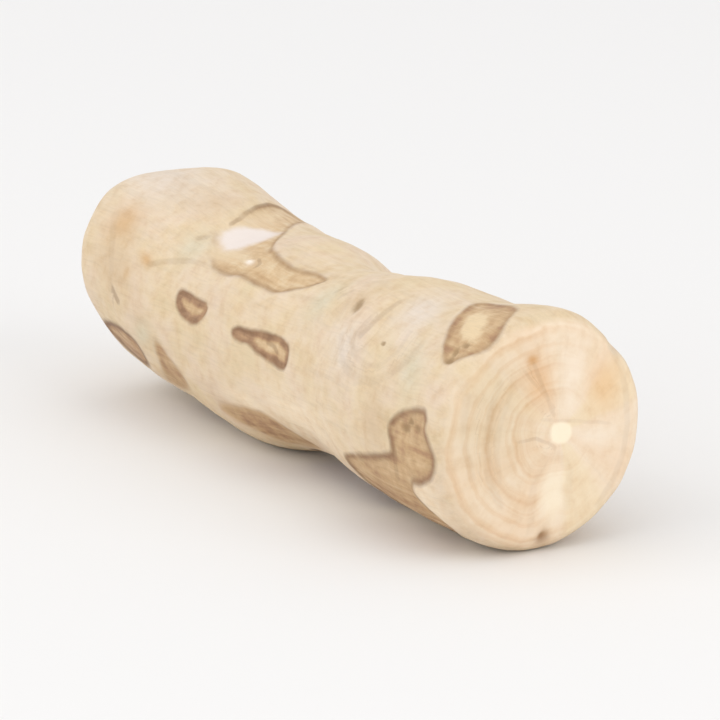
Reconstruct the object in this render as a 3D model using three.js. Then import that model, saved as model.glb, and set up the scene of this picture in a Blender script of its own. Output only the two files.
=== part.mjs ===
// A coffee wood chew stick: one short, thick length of coffee tree branch, debarked, sawn across at
// both ends and tumbled until its edges are round. It grew and was cut as one piece, so it is one
// solid. Millimetres. The stick lies on its side along X with its larger sawn end at +X, +Z up.
// The origin is on the surface that it rests on, under the middle of its bounding box.
import * as THREE from "three";
import { mergeVertices } from "three/addons/utils/BufferGeometryUtils.js";

// Driving dimensions
const LENGTH = 160; // sawn face to sawn face
const AXIS_HEIGHT = 25.5; // height of the straight reference axis above the surface it rests on
const LEAN_REACH = 30; // a sawn face's lean dies away over this much of the side

// Sawn ends: the rim is tumbled to a quarter ellipse, reach along the stick by inset across it, the
// inset being a share of the radius. crown is how far the middle of the face stands proud, and lean
// is how far its top stands out past a square cut for each millimetre of height.
const FAR_END = { reach: 9, inset: 0.3, crown: 1.6, lean: 0.12 };
const NEAR_END = { reach: 6, inset: 0.17, crown: 0.8, lean: 0.03 };

// How finely it is faceted
const AROUND = 64; // facets round the stick
const SIDE_STEPS = 44; // facets along it, between the two rounded rims
const RIM_STEPS = 6; // facets over each rounded rim
const FACE_RINGS = 8; // rings of facets across each sawn face
const CURVE_SAMPLES = 400; // points along each curve of the branch
const WELD = 0.001; // points closer than this are one point

// How the branch wanders and swells: the centre of the section (y to the far side, z up from the
// reference axis) and its mean radius, at distances from the far sawn face.
const SECTIONS = [
  { at: 0, y: 1.6, z: 1.4, radius: 22.8 },
  { at: 10, y: 1.4, z: 1.2, radius: 23.6 },
  { at: 22, y: 0.8, z: 0.6, radius: 23.8 },
  { at: 40, y: 0.0, z: -0.6, radius: 23.2 },
  { at: 55, y: -0.2, z: -1.6, radius: 23.0 },
  { at: 68, y: -0.2, z: -1.8, radius: 22.8 },
  { at: 82, y: -0.6, z: -1.4, radius: 21.6 },
  { at: 98, y: -1.0, z: -0.9, radius: 21.6 },
  { at: 114, y: -1.2, z: -0.8, radius: 23.2 },
  { at: 132, y: -1.4, z: -1.0, radius: 24.4 },
  { at: 148, y: -0.7, z: -0.5, radius: 25.3 },
  { at: 160, y: -0.2, z: 0.0, radius: 25.7 },
];

// Knuckles, hollows and worn planes of the branch. angle is measured in degrees from the top over
// the front side (-Y), so 90 is the front and 180 is underneath. rise is how far the wood stands
// out, or with a minus sign how deep the hollow is; along and around are its half widths.
const KNUCKLES = [
  { at: 15, angle: -32, rise: 1.3, along: 8, around: 15 }, // shoulder of the far head
  { at: 5, angle: -6, rise: -1.9, along: 10, around: 13 }, // far head planed off on top
  { at: 3, angle: 42, rise: 2.0, along: 11, around: 10 }, // blunt upper corner of the far head
  { at: 22, angle: 80, rise: 1.0, along: 15, around: 16 }, // cheek of the far head
  { at: 3, angle: 82, rise: 1.7, along: 9, around: 14 }, // full lower front of the far head
  { at: 9, angle: 118, rise: -1.6, along: 13, around: 13 }, // far head planed off underneath
  { at: 50, angle: 12, rise: -2.2, along: 14, around: 15 }, // worn hollow behind the shoulder
  { at: 62, angle: 170, rise: 1.7, along: 15, around: 15 }, // knuckle that the middle rests on
  { at: 70, angle: 62, rise: 1.2, along: 17, around: 12 }, // low ridge along the front
  { at: 94, angle: 136, rise: -0.7, along: 11, around: 16 }, // waist underneath
  { at: 87, angle: -42, rise: -3.4, along: 8, around: 16 }, // nick of the waist on top
  { at: 108, angle: 18, rise: 1.4, along: 13, around: 15 }, // knuckle round a branch scar
  { at: 104, angle: -18, rise: -1.5, along: 6, around: 9 }, // dip beside that knuckle
  { at: 120, angle: 85, rise: -1.0, along: 16, around: 12 }, // shallow front hollow
  { at: 138, angle: -14, rise: -1.0, along: 8, around: 12 }, // dip behind the near end
  { at: 151, angle: -20, rise: 0.9, along: 13, around: 8 }, // blunt upper corner of the near end
  { at: 152, angle: -50, rise: -0.8, along: 13, around: 9 }, // near end worn flat beside that corner
  { at: 144, angle: -72, rise: 0.4, along: 13, around: 13 }, // swelling at the back of the near end
  { at: 58, angle: 250, rise: 1.8, along: 20, around: 18 }, // back of the middle
  { at: 96, angle: 275, rise: -1.7, along: 14, around: 16 }, // hollow at the back
  { at: 128, angle: 215, rise: 1.0, along: 18, around: 16 }, // heel at the back
];

// A smooth curve of one quantity against distance along the branch.
function alongBranch(quantity) {
  const points = SECTIONS.map((s) => new THREE.Vector3(s.at, s[quantity], 0));
  const curve = new THREE.CatmullRomCurve3(points, false, "centripetal");
  const samples = curve.getPoints(CURVE_SAMPLES);
  return (at) => {
    const next = samples.findIndex((p) => p.x >= at);
    if (next < 0) return samples.at(-1).y;
    if (next === 0) return samples[0].y;
    const [a, b] = [samples[next - 1], samples[next]];
    return THREE.MathUtils.mapLinear(at, a.x, b.x, a.y, b.y);
  };
}

const centreY = alongBranch("y");
const centreZ = alongBranch("z");
const meanRadius = alongBranch("radius");

// The shortest way round from one angle to another, in degrees.
function turnBetween(a, b) {
  return THREE.MathUtils.euclideanModulo(a - b + 180, 360) - 180;
}

// Distance from the section's centre to the surface, with every knuckle and hollow added.
function radiusAt(at, angle) {
  const radius = meanRadius(at);
  let rise = 0;
  for (const k of KNUCKLES) {
    const along = (at - k.at) / k.along;
    const around = (THREE.MathUtils.degToRad(turnBetween(angle, k.angle)) * radius) / k.around;
    rise += k.rise * Math.exp(-(along ** 2) - around ** 2);
  }
  return radius + rise;
}

// How far a point moves along the stick for each millimetre that it lies above the axis, because
// the sawn faces lean.
function leanAt(at) {
  const fromFar = THREE.MathUtils.clamp(1 - at / LEAN_REACH, 0, 1);
  const fromNear = THREE.MathUtils.clamp(1 - (LENGTH - at) / LEAN_REACH, 0, 1);
  return NEAR_END.lean * fromNear ** 2 - FAR_END.lean * fromFar ** 2;
}

// The stick's profile as a lathe turns it, with a radius of 1: up from the far face's middle, over
// its rim, along the side, over the near rim and back to the middle of the near face.
function latheProfile() {
  const points = [];
  const faceOf = (end) => 1 - end.inset;
  for (let i = 0; i < FACE_RINGS; i++) {
    const share = i / FACE_RINGS;
    points.push(new THREE.Vector2(share * faceOf(FAR_END), FAR_END.crown * share ** 2));
  }
  for (let i = 0; i <= RIM_STEPS; i++) {
    const turn = (i / RIM_STEPS) * (Math.PI / 2);
    const out = faceOf(FAR_END) + FAR_END.inset * Math.sin(turn);
    points.push(new THREE.Vector2(out, FAR_END.crown + FAR_END.reach * (1 - Math.cos(turn))));
  }
  const sideStart = FAR_END.crown + FAR_END.reach;
  const sideEnd = LENGTH - NEAR_END.crown - NEAR_END.reach;
  for (let i = 1; i < SIDE_STEPS; i++) {
    points.push(new THREE.Vector2(1, THREE.MathUtils.lerp(sideStart, sideEnd, i / SIDE_STEPS)));
  }
  for (let i = 0; i <= RIM_STEPS; i++) {
    const turn = (i / RIM_STEPS) * (Math.PI / 2);
    const out = faceOf(NEAR_END) + NEAR_END.inset * Math.cos(turn);
    points.push(new THREE.Vector2(out, sideEnd + NEAR_END.reach * Math.sin(turn)));
  }
  for (let i = FACE_RINGS - 1; i >= 0; i--) {
    const share = i / FACE_RINGS;
    points.push(new THREE.Vector2(share * faceOf(NEAR_END), LENGTH - NEAR_END.crown * share ** 2));
  }
  return points;
}

// Pushes a turned blank of radius 1 into the shape of the branch.
function sculpt(blank) {
  const position = blank.getAttribute("position");
  const p = new THREE.Vector3();
  for (let i = 0; i < position.count; i++) {
    p.fromBufferAttribute(position, i);
    const share = Math.hypot(p.y, p.z);
    const angle = share > 0 ? THREE.MathUtils.radToDeg(Math.atan2(-p.y, p.z)) : 0;
    const radius = radiusAt(p.x, angle);
    const y = centreY(p.x) + p.y * radius;
    const z = Math.max(centreZ(p.x) + p.z * radius, -AXIS_HEIGHT);
    position.setXYZ(i, p.x + leanAt(p.x) * z, y, z);
  }
  return blank;
}

function stickGeometry() {
  const blank = new THREE.LatheGeometry(latheProfile(), AROUND).rotateZ(-Math.PI / 2);
  blank.deleteAttribute("normal");
  blank.deleteAttribute("uv");
  const stick = mergeVertices(sculpt(blank), WELD);
  stick.computeVertexNormals();
  return stick;
}

// Sanded coffee wood: pale cream, dull
const sandedWood = new THREE.MeshStandardMaterial({ color: 0xe6cfa9, roughness: 0.62, metalness: 0 });

const geometry = stickGeometry();
geometry.computeBoundingBox();
const box = geometry.boundingBox;
geometry.translate(-(box.min.x + box.max.x) / 2, -(box.min.y + box.max.y) / 2, -box.min.z);

const stick = new THREE.Mesh(geometry, sandedWood);
stick.name = "stick";

const chewStick = new THREE.Group();
chewStick.add(stick);

export default chewStick;
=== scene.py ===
# %% [markdown]
# # A coffee wood chew stick
#
# A coffee wood chew stick is a short, thick length of coffee tree branch. Its bark is stripped,
# both ends are sawn, and many sticks are tumbled together until no edge is left sharp. What stays
# is pale, dense wood. In its deepest hollows the tumbling never reached the last of the inner
# bark, and there it shows tan patches, each with a thin dark edge.
#
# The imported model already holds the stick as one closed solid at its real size. This lesson keeps
# that form. It adds what a hand and an eye find on the real one: the sunken patches, the knots,
# the nicks, the growth rings of the sawn ends and the wood itself.

import math

import bpy
import numpy as np
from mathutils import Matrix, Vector, noise


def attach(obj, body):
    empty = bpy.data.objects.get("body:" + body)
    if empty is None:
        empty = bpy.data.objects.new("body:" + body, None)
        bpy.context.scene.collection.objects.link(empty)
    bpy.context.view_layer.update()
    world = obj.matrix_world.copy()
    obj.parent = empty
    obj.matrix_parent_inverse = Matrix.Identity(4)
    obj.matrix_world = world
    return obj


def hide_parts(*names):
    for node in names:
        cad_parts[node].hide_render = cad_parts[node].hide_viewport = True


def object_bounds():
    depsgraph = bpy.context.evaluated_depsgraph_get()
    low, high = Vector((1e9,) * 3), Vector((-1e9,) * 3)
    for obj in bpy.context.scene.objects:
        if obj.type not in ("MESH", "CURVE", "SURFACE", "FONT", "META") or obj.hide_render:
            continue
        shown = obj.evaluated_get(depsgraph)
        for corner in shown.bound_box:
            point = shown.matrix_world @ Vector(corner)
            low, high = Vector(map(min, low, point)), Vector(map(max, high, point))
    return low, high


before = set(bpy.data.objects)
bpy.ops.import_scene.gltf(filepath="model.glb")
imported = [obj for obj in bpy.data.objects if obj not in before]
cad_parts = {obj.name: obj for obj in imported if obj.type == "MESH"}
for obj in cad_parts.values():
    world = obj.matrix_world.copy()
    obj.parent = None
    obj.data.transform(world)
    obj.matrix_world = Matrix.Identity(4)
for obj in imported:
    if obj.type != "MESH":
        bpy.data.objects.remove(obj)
cad_low, cad_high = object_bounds()

MM = 0.001
cad_size = (cad_high - cad_low) / MM
print(f"The solid measures {cad_size.x:.1f} by {cad_size.y:.1f} by {cad_size.z:.1f} mm")

# %% [markdown]
# ## The camera
#
# The picture was taken from in front of the larger sawn end and to its side, a little above the
# floor, from over a metre away. A long lens from the same direction frames the stick closely and
# keeps the flat perspective of a distant camera. The lens aims at the middle of the stick's
# outline, which a shift along the picture's own right and up directions finds.

# %% Place the camera
VIEW_AZIMUTH = math.radians(58)
VIEW_ELEVATION = math.radians(16)
VIEW_DISTANCE = 1.32
LENS = 308
AIM_HEIGHT = 25 * MM
AIM_RIGHT = 4.4 * MM
AIM_DOWN = 2.6 * MM

towards_camera = Vector((
    math.sin(VIEW_AZIMUTH) * math.cos(VIEW_ELEVATION),
    -math.cos(VIEW_AZIMUTH) * math.cos(VIEW_ELEVATION),
    math.sin(VIEW_ELEVATION),
))
picture_right = Vector((math.cos(VIEW_AZIMUTH), math.sin(VIEW_AZIMUTH), 0))
picture_up = towards_camera.cross(picture_right)
aim = Vector((0, 0, AIM_HEIGHT)) + AIM_RIGHT * picture_right - AIM_DOWN * picture_up

bpy.ops.object.camera_add(location=aim + VIEW_DISTANCE * towards_camera)
camera = bpy.context.object
camera.name = "camera"
camera.rotation_euler = towards_camera.to_track_quat("Z", "Y").to_euler()
camera.data.lens = LENS
bpy.context.scene.camera = camera
print("The camera looks from", [round(side, 2) for side in camera.location])

# %% [markdown]
# ## A fine skin over the solid
#
# The solid is faceted, with facets about three millimetres long. Fine carving needs points much
# closer together. Modelling the stick again from a cylinder would only come near its real form,
# so a copy of the solid is the better start: its doubled points are merged, its triangles are
# paired into four-sided faces, and a subdivision surface divides each of these into sixteen. The
# copy then stands in for the solid, which stays in place unseen.

# %% Copy the solid and refine the copy
SUBDIVISIONS = 2
MERGE_DISTANCE = 0.01 * MM


def select_only(piece):
    """Selects one object and makes it the one that operators act on."""
    bpy.ops.object.select_all(action="DESELECT")
    piece.select_set(True)
    bpy.context.view_layer.objects.active = piece


def apply_modifier(piece, kind, **settings):
    """Adds a modifier with these settings and applies it at once."""
    modifier = piece.modifiers.new(kind.title(), kind)
    for name, value in settings.items():
        setattr(modifier, name, value)
    select_only(piece)
    bpy.ops.object.modifier_apply(modifier=modifier.name)


wood = bpy.data.objects.new("tumbled_stick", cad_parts["stick"].data.copy())
bpy.context.scene.collection.objects.link(wood)
select_only(wood)
bpy.ops.object.mode_set(mode="EDIT")
bpy.ops.mesh.select_all(action="SELECT")
bpy.ops.mesh.remove_doubles(threshold=MERGE_DISTANCE)
bpy.ops.mesh.tris_convert_to_quads()
bpy.ops.mesh.normals_make_consistent(inside=False)
bpy.ops.object.mode_set(mode="OBJECT")
apply_modifier(wood, "SUBSURF", levels=SUBDIVISIONS, render_levels=SUBDIVISIONS)
print(f"The skin has {len(wood.data.polygons)} faces")

# %% [markdown]
# ## Finding a place on the wood
#
# On a branch a place is easiest to name as a carpenter would: so many millimetres along from the
# smaller end, and so many degrees round, counted from the top over the front. Each point of the
# mesh gets these two numbers once, and everything later is placed by them.

# %% Measure where every point lies
AXIS_HEIGHT = 25.0
MEAN_RADIUS = 23.5


def read_vectors(items, name):
    """One vector for each item of a mesh, as rows of numbers."""
    values = np.empty(len(items) * 3)
    items.foreach_get(name, values)
    return values.reshape(-1, 3)


def unroll(along, turn, middle):
    """Places on the side as flat millimetres, with degrees counted from a middle direction."""
    from_middle = (turn - middle + 180) % 360 - 180
    return np.stack([along, np.radians(from_middle) * MEAN_RADIUS], axis=-1)


def smooth_step(value, start, end):
    """Rises smoothly from 0 at start to 1 at end."""
    share = np.clip((value - start) / (end - start), 0, 1)
    return share * share * (3 - 2 * share)


rest_points = read_vectors(wood.data.vertices, "co") / MM
along = rest_points[:, 0] - cad_low.x / MM
turn = np.degrees(np.arctan2(-rest_points[:, 1], rest_points[:, 2] - AXIS_HEIGHT)) % 360
print(f"The points run from {along.min():.1f} to {along.max():.1f} mm along the stick")

# %% [markdown]
# ## The bark patches
#
# A patch is the floor of a hollow that kept some inner bark. Its outline is irregular, so each is
# given by a few listed points, and the corners are then cut to round it, as tumbling does.
#
# Each patch also has its own character. Tone runs from 0, pale tan, to 1, brown, with one value
# for its middle and another for the band of bark inside its edge, so many millimetres wide. Line
# is how dark the cut edge itself is, sunk is how far the floor lies below the wood, and soft is
# how many times wider than a crisp one the edge is.

# %% Outline the patches on the side that shows
FRONT_PATCHES = {
    "saddle_patch": {
        "outline": [
            (43, 22), (43.4, 9), (41, -5), (39, -15), (37, -26), (38, -42), (45, -40), (50, -22),
            (54, -9), (59.7, 8), (64.5, 20), (71, 25.5), (77, 27.5), (81, 26), (85.7, 23.5),
            (91, 26), (86.7, 37), (83, 43), (80, 48), (71.3, 48), (65.5, 47), (59.3, 50), (54, 48),
            (48, 38),
        ],
        "tone": 0.3, "edge_tone": 0.5, "band": 1.0, "line": 0.5, "sunk": 0.5, "soft": 1.6,
    },
    "shield_patch": {
        "outline": [
            (48.1, 71), (48.4, 67.8), (49.8, 66.4), (52, 66.9), (54.8, 68.5), (58.2, 68.1),
            (60.7, 69.1), (61.5, 72.8), (60.3, 77.6), (58, 81.8), (54.3, 82.9), (50.8, 79.9), (48.5, 76),
        ],
        "tone": 0.4, "edge_tone": 0.85, "band": 1.8, "line": 0.5, "sunk": 0.3, "soft": 1.3,
    },
    "wedge_patch": {
        "outline": [
            (72.5, 76), (73, 79.3), (75, 80.6), (79.1, 80), (81.8, 82.4), (84.8, 84.2), (88.6, 85.4),
            (91.2, 86.6), (93.2, 86), (94, 82), (93.6, 75), (92.6, 71.8), (90.4, 69.8), (86.9, 69.4),
            (82.5, 71), (77.9, 72.6), (74.4, 73.4),
        ],
        "tone": 0.4, "edge_tone": 0.85, "band": 1.7, "line": 0.7, "sunk": 0.35, "soft": 1.3,
    },
    "crown_patch": {
        "outline": [
            (149.7, 47), (146.8, 40), (143.4, 31), (139.8, 19), (136.4, 5), (138.1, -2), (147.4, 0),
            (151, 2), (155.1, 14), (157.8, 23), (158.5, 31), (157.5, 37), (155.5, 42), (153.3, 47),
            (150.9, 48.5),
        ],
        "tone": 0.5, "edge_tone": 0.6, "band": 1.4, "line": 0.45, "sunk": 0.4, "soft": 1.4,
    },
    "boot_patch": {
        "outline": [
            (115, 119.5), (123.5, 112.5), (133, 105.5), (140.7, 99.5), (141, 94), (140, 90), (139.8, 86),
            (141.8, 81), (145, 76), (148.9, 73), (152, 72), (153.4, 76), (153.6, 81), (154.9, 86),
            (156.3, 92), (156.2, 99), (154.4, 105), (149.6, 110), (146.9, 111), (145.7, 117),
            (146.2, 123), (150, 131), (151, 142), (146, 155), (136, 158), (126, 152), (118, 138),
        ],
        "tone": 0.55, "edge_tone": 0.7, "band": 0.8, "line": 0.8, "sunk": 0.35, "soft": 1.6,
    },
    "keel_patch": {
        "outline": [
            (60, 131), (64, 125), (71, 121.5), (80, 121), (85, 128), (90, 138), (93, 147),
            (86, 152), (77, 150), (73, 143), (69.6, 138), (64.7, 135.5),
        ],
        "tone": 0.68, "edge_tone": 0.55, "band": 1.6, "line": 0.1, "sunk": 0.3, "soft": 4.0,
    },
    "lip_patch": {
        "outline": [
            (9, 117), (14, 110), (20, 106), (26, 105.5), (30, 110), (31, 119), (29, 129), (23, 134),
            (15, 131), (10, 125),
        ],
        "tone": 0.65, "edge_tone": 0.95, "band": 1.3, "line": 0.8, "sunk": 0.35, "soft": 2.5,
    },
    "sliver_patch": {
        "outline": [
            (40.5, 102), (42.6, 104), (44.5, 109), (47.5, 114), (49.5, 121), (47, 130), (40, 136),
            (34, 137), (37, 128), (38.6, 118), (39.2, 109),
        ],
        "tone": 0.6, "edge_tone": 0.55, "band": 1.0, "line": 0.25, "sunk": 0.25, "soft": 3.0,
    },
}
print(f"{len(FRONT_PATCHES)} patches show from the front")

# %% [markdown]
# The back and the underside aren't in the picture, and a real stick is patched all round. These
# outlines are made up, with the same sizes, tones and kinds of shape as those in front.

# %% Outline the patches on the hidden side
HIDDEN_PATCHES = {
    # Under the raised waist the belly patch is darker than any patch in front, and that extra dark is painted shade.
    "belly_patch_and_shade": {
        "outline": [
            (82, 158), (90, 153), (99, 155), (108, 152), (116, 158), (119, 167), (113, 176),
            (116, 187), (108, 195), (99, 188), (91, 192), (83, 184), (80, 170),
        ],
        "tone": 0.95, "edge_tone": 1.0, "band": 1.1, "line": 0.8, "sunk": 0.35, "soft": 2.0,
    },
    "heel_patch": {
        "outline": [
            (29, 171), (32, 165.5), (37, 167), (40.5, 161), (45.5, 167), (43, 173), (45, 180),
            (40, 186), (36, 184), (32, 189), (29, 181), (31, 176),
        ],
        "tone": 0.45, "edge_tone": 0.85, "band": 1.6, "line": 0.5, "sunk": 0.3, "soft": 1.5,
    },
    "long_patch": {
        "outline": [
            (66, 212), (75, 206), (86, 208), (97, 215), (107, 214), (112, 221), (103, 229),
            (92, 226), (84, 233), (76, 229), (69, 222),
        ],
        "tone": 0.55, "edge_tone": 0.7, "band": 0.8, "line": 0.8, "sunk": 0.4, "soft": 1.6,
    },
    "bean_patch": {
        "outline": [
            (23, 239), (28, 233), (32, 235), (37, 231), (41.5, 239), (39.5, 245), (42, 252), (37, 259),
            (31, 256), (33, 250), (30, 245), (25, 246),
        ],
        "tone": 0.45, "edge_tone": 0.8, "band": 1.3, "line": 0.7, "sunk": 0.35, "soft": 1.2,
    },
    "drop_patch": {
        "outline": [
            (125, 253), (131, 247), (134.5, 248.5), (137, 241), (144, 244), (148, 253), (144.5, 257),
            (146, 264), (139, 268), (136, 262), (130, 264),
        ],
        "tone": 0.65, "edge_tone": 0.7, "band": 0.8, "line": 0.5, "sunk": 0.35, "soft": 2.5,
    },
    "back_saddle_patch": {
        "outline": [
            (82, 278), (90, 270), (97, 274), (101, 284), (110, 287), (116, 294), (107, 300),
            (99, 297), (94, 305), (87, 301), (86, 289),
        ],
        "tone": 0.3, "edge_tone": 0.5, "band": 1.2, "line": 0.5, "sunk": 0.5, "soft": 1.6,
    },
    "shoulder_patch": {
        "outline": [
            (9, 299), (14, 291), (19, 294), (23, 286), (29, 291), (32, 302), (26.5, 304), (26, 312),
            (19, 309), (14, 313), (13, 305),
        ],
        "tone": 0.4, "edge_tone": 0.6, "band": 1.6, "line": 0.4, "sunk": 0.3, "soft": 1.5,
    },
    "small_ring_patch": {
        "outline": [
            (60.5, 266), (62.5, 259), (66.5, 261), (70.5, 257.5), (74, 265), (70.5, 268), (71.5, 274),
            (65, 276), (63, 270),
        ],
        "tone": 0.5, "edge_tone": 0.9, "band": 1.6, "line": 0.5, "sunk": 0.25, "soft": 1.2,
    },
}
PATCHES = {**FRONT_PATCHES, **HIDDEN_PATCHES}
print(f"{len(PATCHES)} patches in all")

# %% [markdown]
# ## How deep inside an outline a point lies
#
# The side of the stick is unrolled flat, so that degrees become millimetres at the mean radius.
# The distance to an outline is the distance to its nearest edge, and a point is inside when a line
# from it crosses the outline an odd number of times. Real edges wander, so the points are first
# nudged by a little smooth noise. Blender starts that noise from the clock, so it gets a seed
# here, once for the whole script, and every run then gives the same stick.
#
# Every point of the mesh stores how deep inside the nearest outline it lies, in millimetres, and
# less than nothing outside. One such number is worth more than a painted mask: it sinks the floor,
# draws the dark edge and fills the patch with colour.

# %% Write the helpers that measure outlines
CORNER_CUTS = 2
CORNER_SHARE = 0.2
NUDGE = 0.3
NUDGE_SIZE = 3.5
NOISE_SEED = 1


def cut_corners(outline):
    """Rounds a closed outline by cutting each corner, again and again."""
    outline = np.array(outline, float)
    for _ in range(CORNER_CUTS):
        after = np.roll(outline, -1, axis=0)
        near = (1 - CORNER_SHARE) * outline + CORNER_SHARE * after
        far = CORNER_SHARE * outline + (1 - CORNER_SHARE) * after
        outline = np.stack([near, far], axis=1).reshape(-1, 2)
    return outline


def smooth_noise(points, size, start):
    """A smooth random vector for each point, which changes over about this many millimetres.
    Another start gives another part of the noise."""
    shift = Vector((start, 2 * start, 3 * start))
    return np.array([noise.noise_vector(Vector(p) / size + shift) for p in points])


def nearest_edge(places, corners):
    """For each flat place, the distance to a line through corners, the side of the line that it
    lies on, and how far it lies past the line's ends."""
    distance = np.full(len(places), np.inf)
    side = np.ones(len(places))
    past_end = np.zeros(len(places))
    for number, (start, end) in enumerate(zip(corners, corners[1:])):
        run = end - start
        offset = places - start
        share = offset @ run / (run @ run)
        share_on_edge = np.clip(share, 0, 1)
        to_edge = np.linalg.norm(offset - share_on_edge[:, None] * run, axis=1)
        closer = to_edge < distance
        distance[closer] = to_edge[closer]
        side[closer] = np.sign(run[0] * offset[closer, 1] - run[1] * offset[closer, 0])
        ended = (share < 0) & (number == 0) | (share > 1) & (number == len(corners) - 2)
        overrun = ended * np.abs(share - share_on_edge) * np.linalg.norm(run)
        past_end[closer] = overrun[closer]
    return distance, side, past_end


def depth_inside(places, corners):
    """How far each flat place lies inside a closed outline, or less than nothing outside it."""
    corners = np.vstack([corners, corners[:1]])
    distance, _, _ = nearest_edge(places, corners)
    crossings = np.zeros(len(places), int)
    for (x, y), (next_x, next_y) in zip(corners, corners[1:]):
        run, rise = next_x - x, next_y - y
        dx, dy = places[:, 0] - x, places[:, 1] - y
        spans = (dy < 0) != (dy < rise)
        crossings += spans & (dx * abs(rise) < dy * run * np.sign(rise))
    return np.where(crossings % 2 == 1, distance, -distance)


noise.seed_set(NOISE_SEED)
nudge = smooth_noise(rest_points, NUDGE_SIZE, start=7)[:, :2] * NUDGE
print(f"The edges wander by up to {np.abs(nudge).max():.2f} mm")

# %% Measure the depth inside every patch
FAR_OUTSIDE = -8.0
PATCH_NUMBERS = ("tone", "edge_tone", "band", "line", "sunk", "soft")


def depth_on_side(outline):
    """How far each point of the mesh lies inside an outline drawn on the side."""
    corners = cut_corners(outline)
    middle = corners[:, 1].mean()
    return depth_inside(unroll(along, turn, middle) + nudge, unroll(*corners.T, middle))


patch_depth = np.full(len(along), FAR_OUTSIDE)
patch_numbers = {name: np.ones(len(along)) for name in PATCH_NUMBERS}
for patch in PATCHES.values():
    depth = depth_on_side(patch["outline"])
    closer = depth > patch_depth
    patch_depth[closer] = depth[closer]
    for name in PATCH_NUMBERS:
        patch_numbers[name][closer] = patch[name]
print(f"{np.count_nonzero(patch_depth > 0)} of {len(along)} points lie in a patch")

# %% [markdown]
# ## Thin lines
#
# Bark leaves fine lines where it was cut or where a beetle larva fed under it. Others are checks
# in a knot, or growth layers that come up to the surface. Each is a line through a few points,
# with half its width in millimetres and how dark it is. Those on the side are placed like the
# patches.

# %% Draw the lines on the side that shows
FRONT_LINES = [
    # edge and scar of the saddle patch
    {"points": [(43.8, 14), (43.3, 7), (41, -5), (39.2, -14), (37.4, -24), (37, -33)], "width": 0.6, "dark": 0.4},
    {"points": [(64.6, 31), (66.8, 33.5), (66.9, 37)], "width": 0.5, "dark": 0.4},
    {"points": [(42.5, 35.5), (44.4, 32)], "width": 0.8, "dark": 0.2},
    {"points": [(34.4, 62), (41.2, 55), (46.6, 50), (54, 48.5)], "width": 0.8, "dark": 0.16},
    # worn rim and a cut on the smaller end
    {"points": [(14.4, 45), (16.8, 53), (19.6, 63), (21.4, 73), (21.7, 84)], "width": 1.1, "dark": 0.1},
    {"points": [(22.2, 81), (23.7, 84), (25.6, 88.5)], "width": 0.8, "dark": 0.45},
    # checks and growth layers round the two knots
    {"points": [(98.5, 33.5), (100.2, 28)], "width": 0.6, "dark": 0.16},
    {"points": [(102.2, 36.5), (104.3, 30)], "width": 0.6, "dark": 0.2},
    {"points": [(118.3, 52), (119.8, 46.5), (120.6, 40), (120.9, 33), (121.4, 27)], "width": 0.9, "dark": 0.24},
    {"points": [(115.6, 56), (117.4, 49), (118.1, 41)], "width": 0.8, "dark": 0.14},
    {
        "points": [(112.2, 55), (116.5, 69), (123, 73), (129.8, 70), (136.2, 63), (139.5, 54), (140.1, 44)],
        "width": 1.0, "dark": 0.09,
    },
    {"points": [(114.5, 50), (118.5, 61), (125, 65), (131, 61), (134.5, 52), (133.5, 40)], "width": 0.7, "dark": 0.09},
    # a fold in the boot patch
    {"points": [(141.8, 97), (141.1, 105), (140, 114)], "width": 0.8, "dark": 0.22},
    # a scratch in the wedge patch
    {"points": [(85, 75.2), (86.8, 75.8), (88, 77), (89, 79)], "width": 0.6, "dark": 0.4},
]
print(f"{len(FRONT_LINES)} lines show from the front")

# %% Draw the lines on the hidden side
HIDDEN_LINES = [
    {"points": [(86, 214), (88, 218), (91, 216), (92, 221)], "width": 0.5, "dark": 0.6},
    {"points": [(78, 219), (80, 222), (79, 226)], "width": 0.45, "dark": 0.5},
    {"points": [(46, 280), (44, 288), (47, 297), (54, 300), (60, 294)], "width": 0.8, "dark": 0.12},
    {"points": [(54, 184), (52, 192), (56, 199), (64, 200), (69, 193)], "width": 0.8, "dark": 0.12},
    {"points": [(114, 226), (113, 233), (118, 240), (126, 240)], "width": 0.8, "dark": 0.12},
    {"points": [(104, 291), (105.5, 294), (104.5, 297)], "width": 0.4, "dark": 0.5},
    {"points": [(131, 303), (136, 305), (140.5, 310)], "width": 0.7, "dark": 0.3},
    {"points": [(85, 244), (91, 246.5), (98, 246)], "width": 0.8, "dark": 0.2},
    {"points": [(19, 206), (25, 208.5), (30, 215)], "width": 0.7, "dark": 0.3},
]
print(f"{len(HIDDEN_LINES)} lines lie on the hidden side")

# %% [markdown]
# On a sawn end a place is easier to name by its plain position, so many millimetres towards the
# back and so many up. The lines there are drying checks, which run out from the pith, and the
# plainest of the growth rings.

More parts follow.
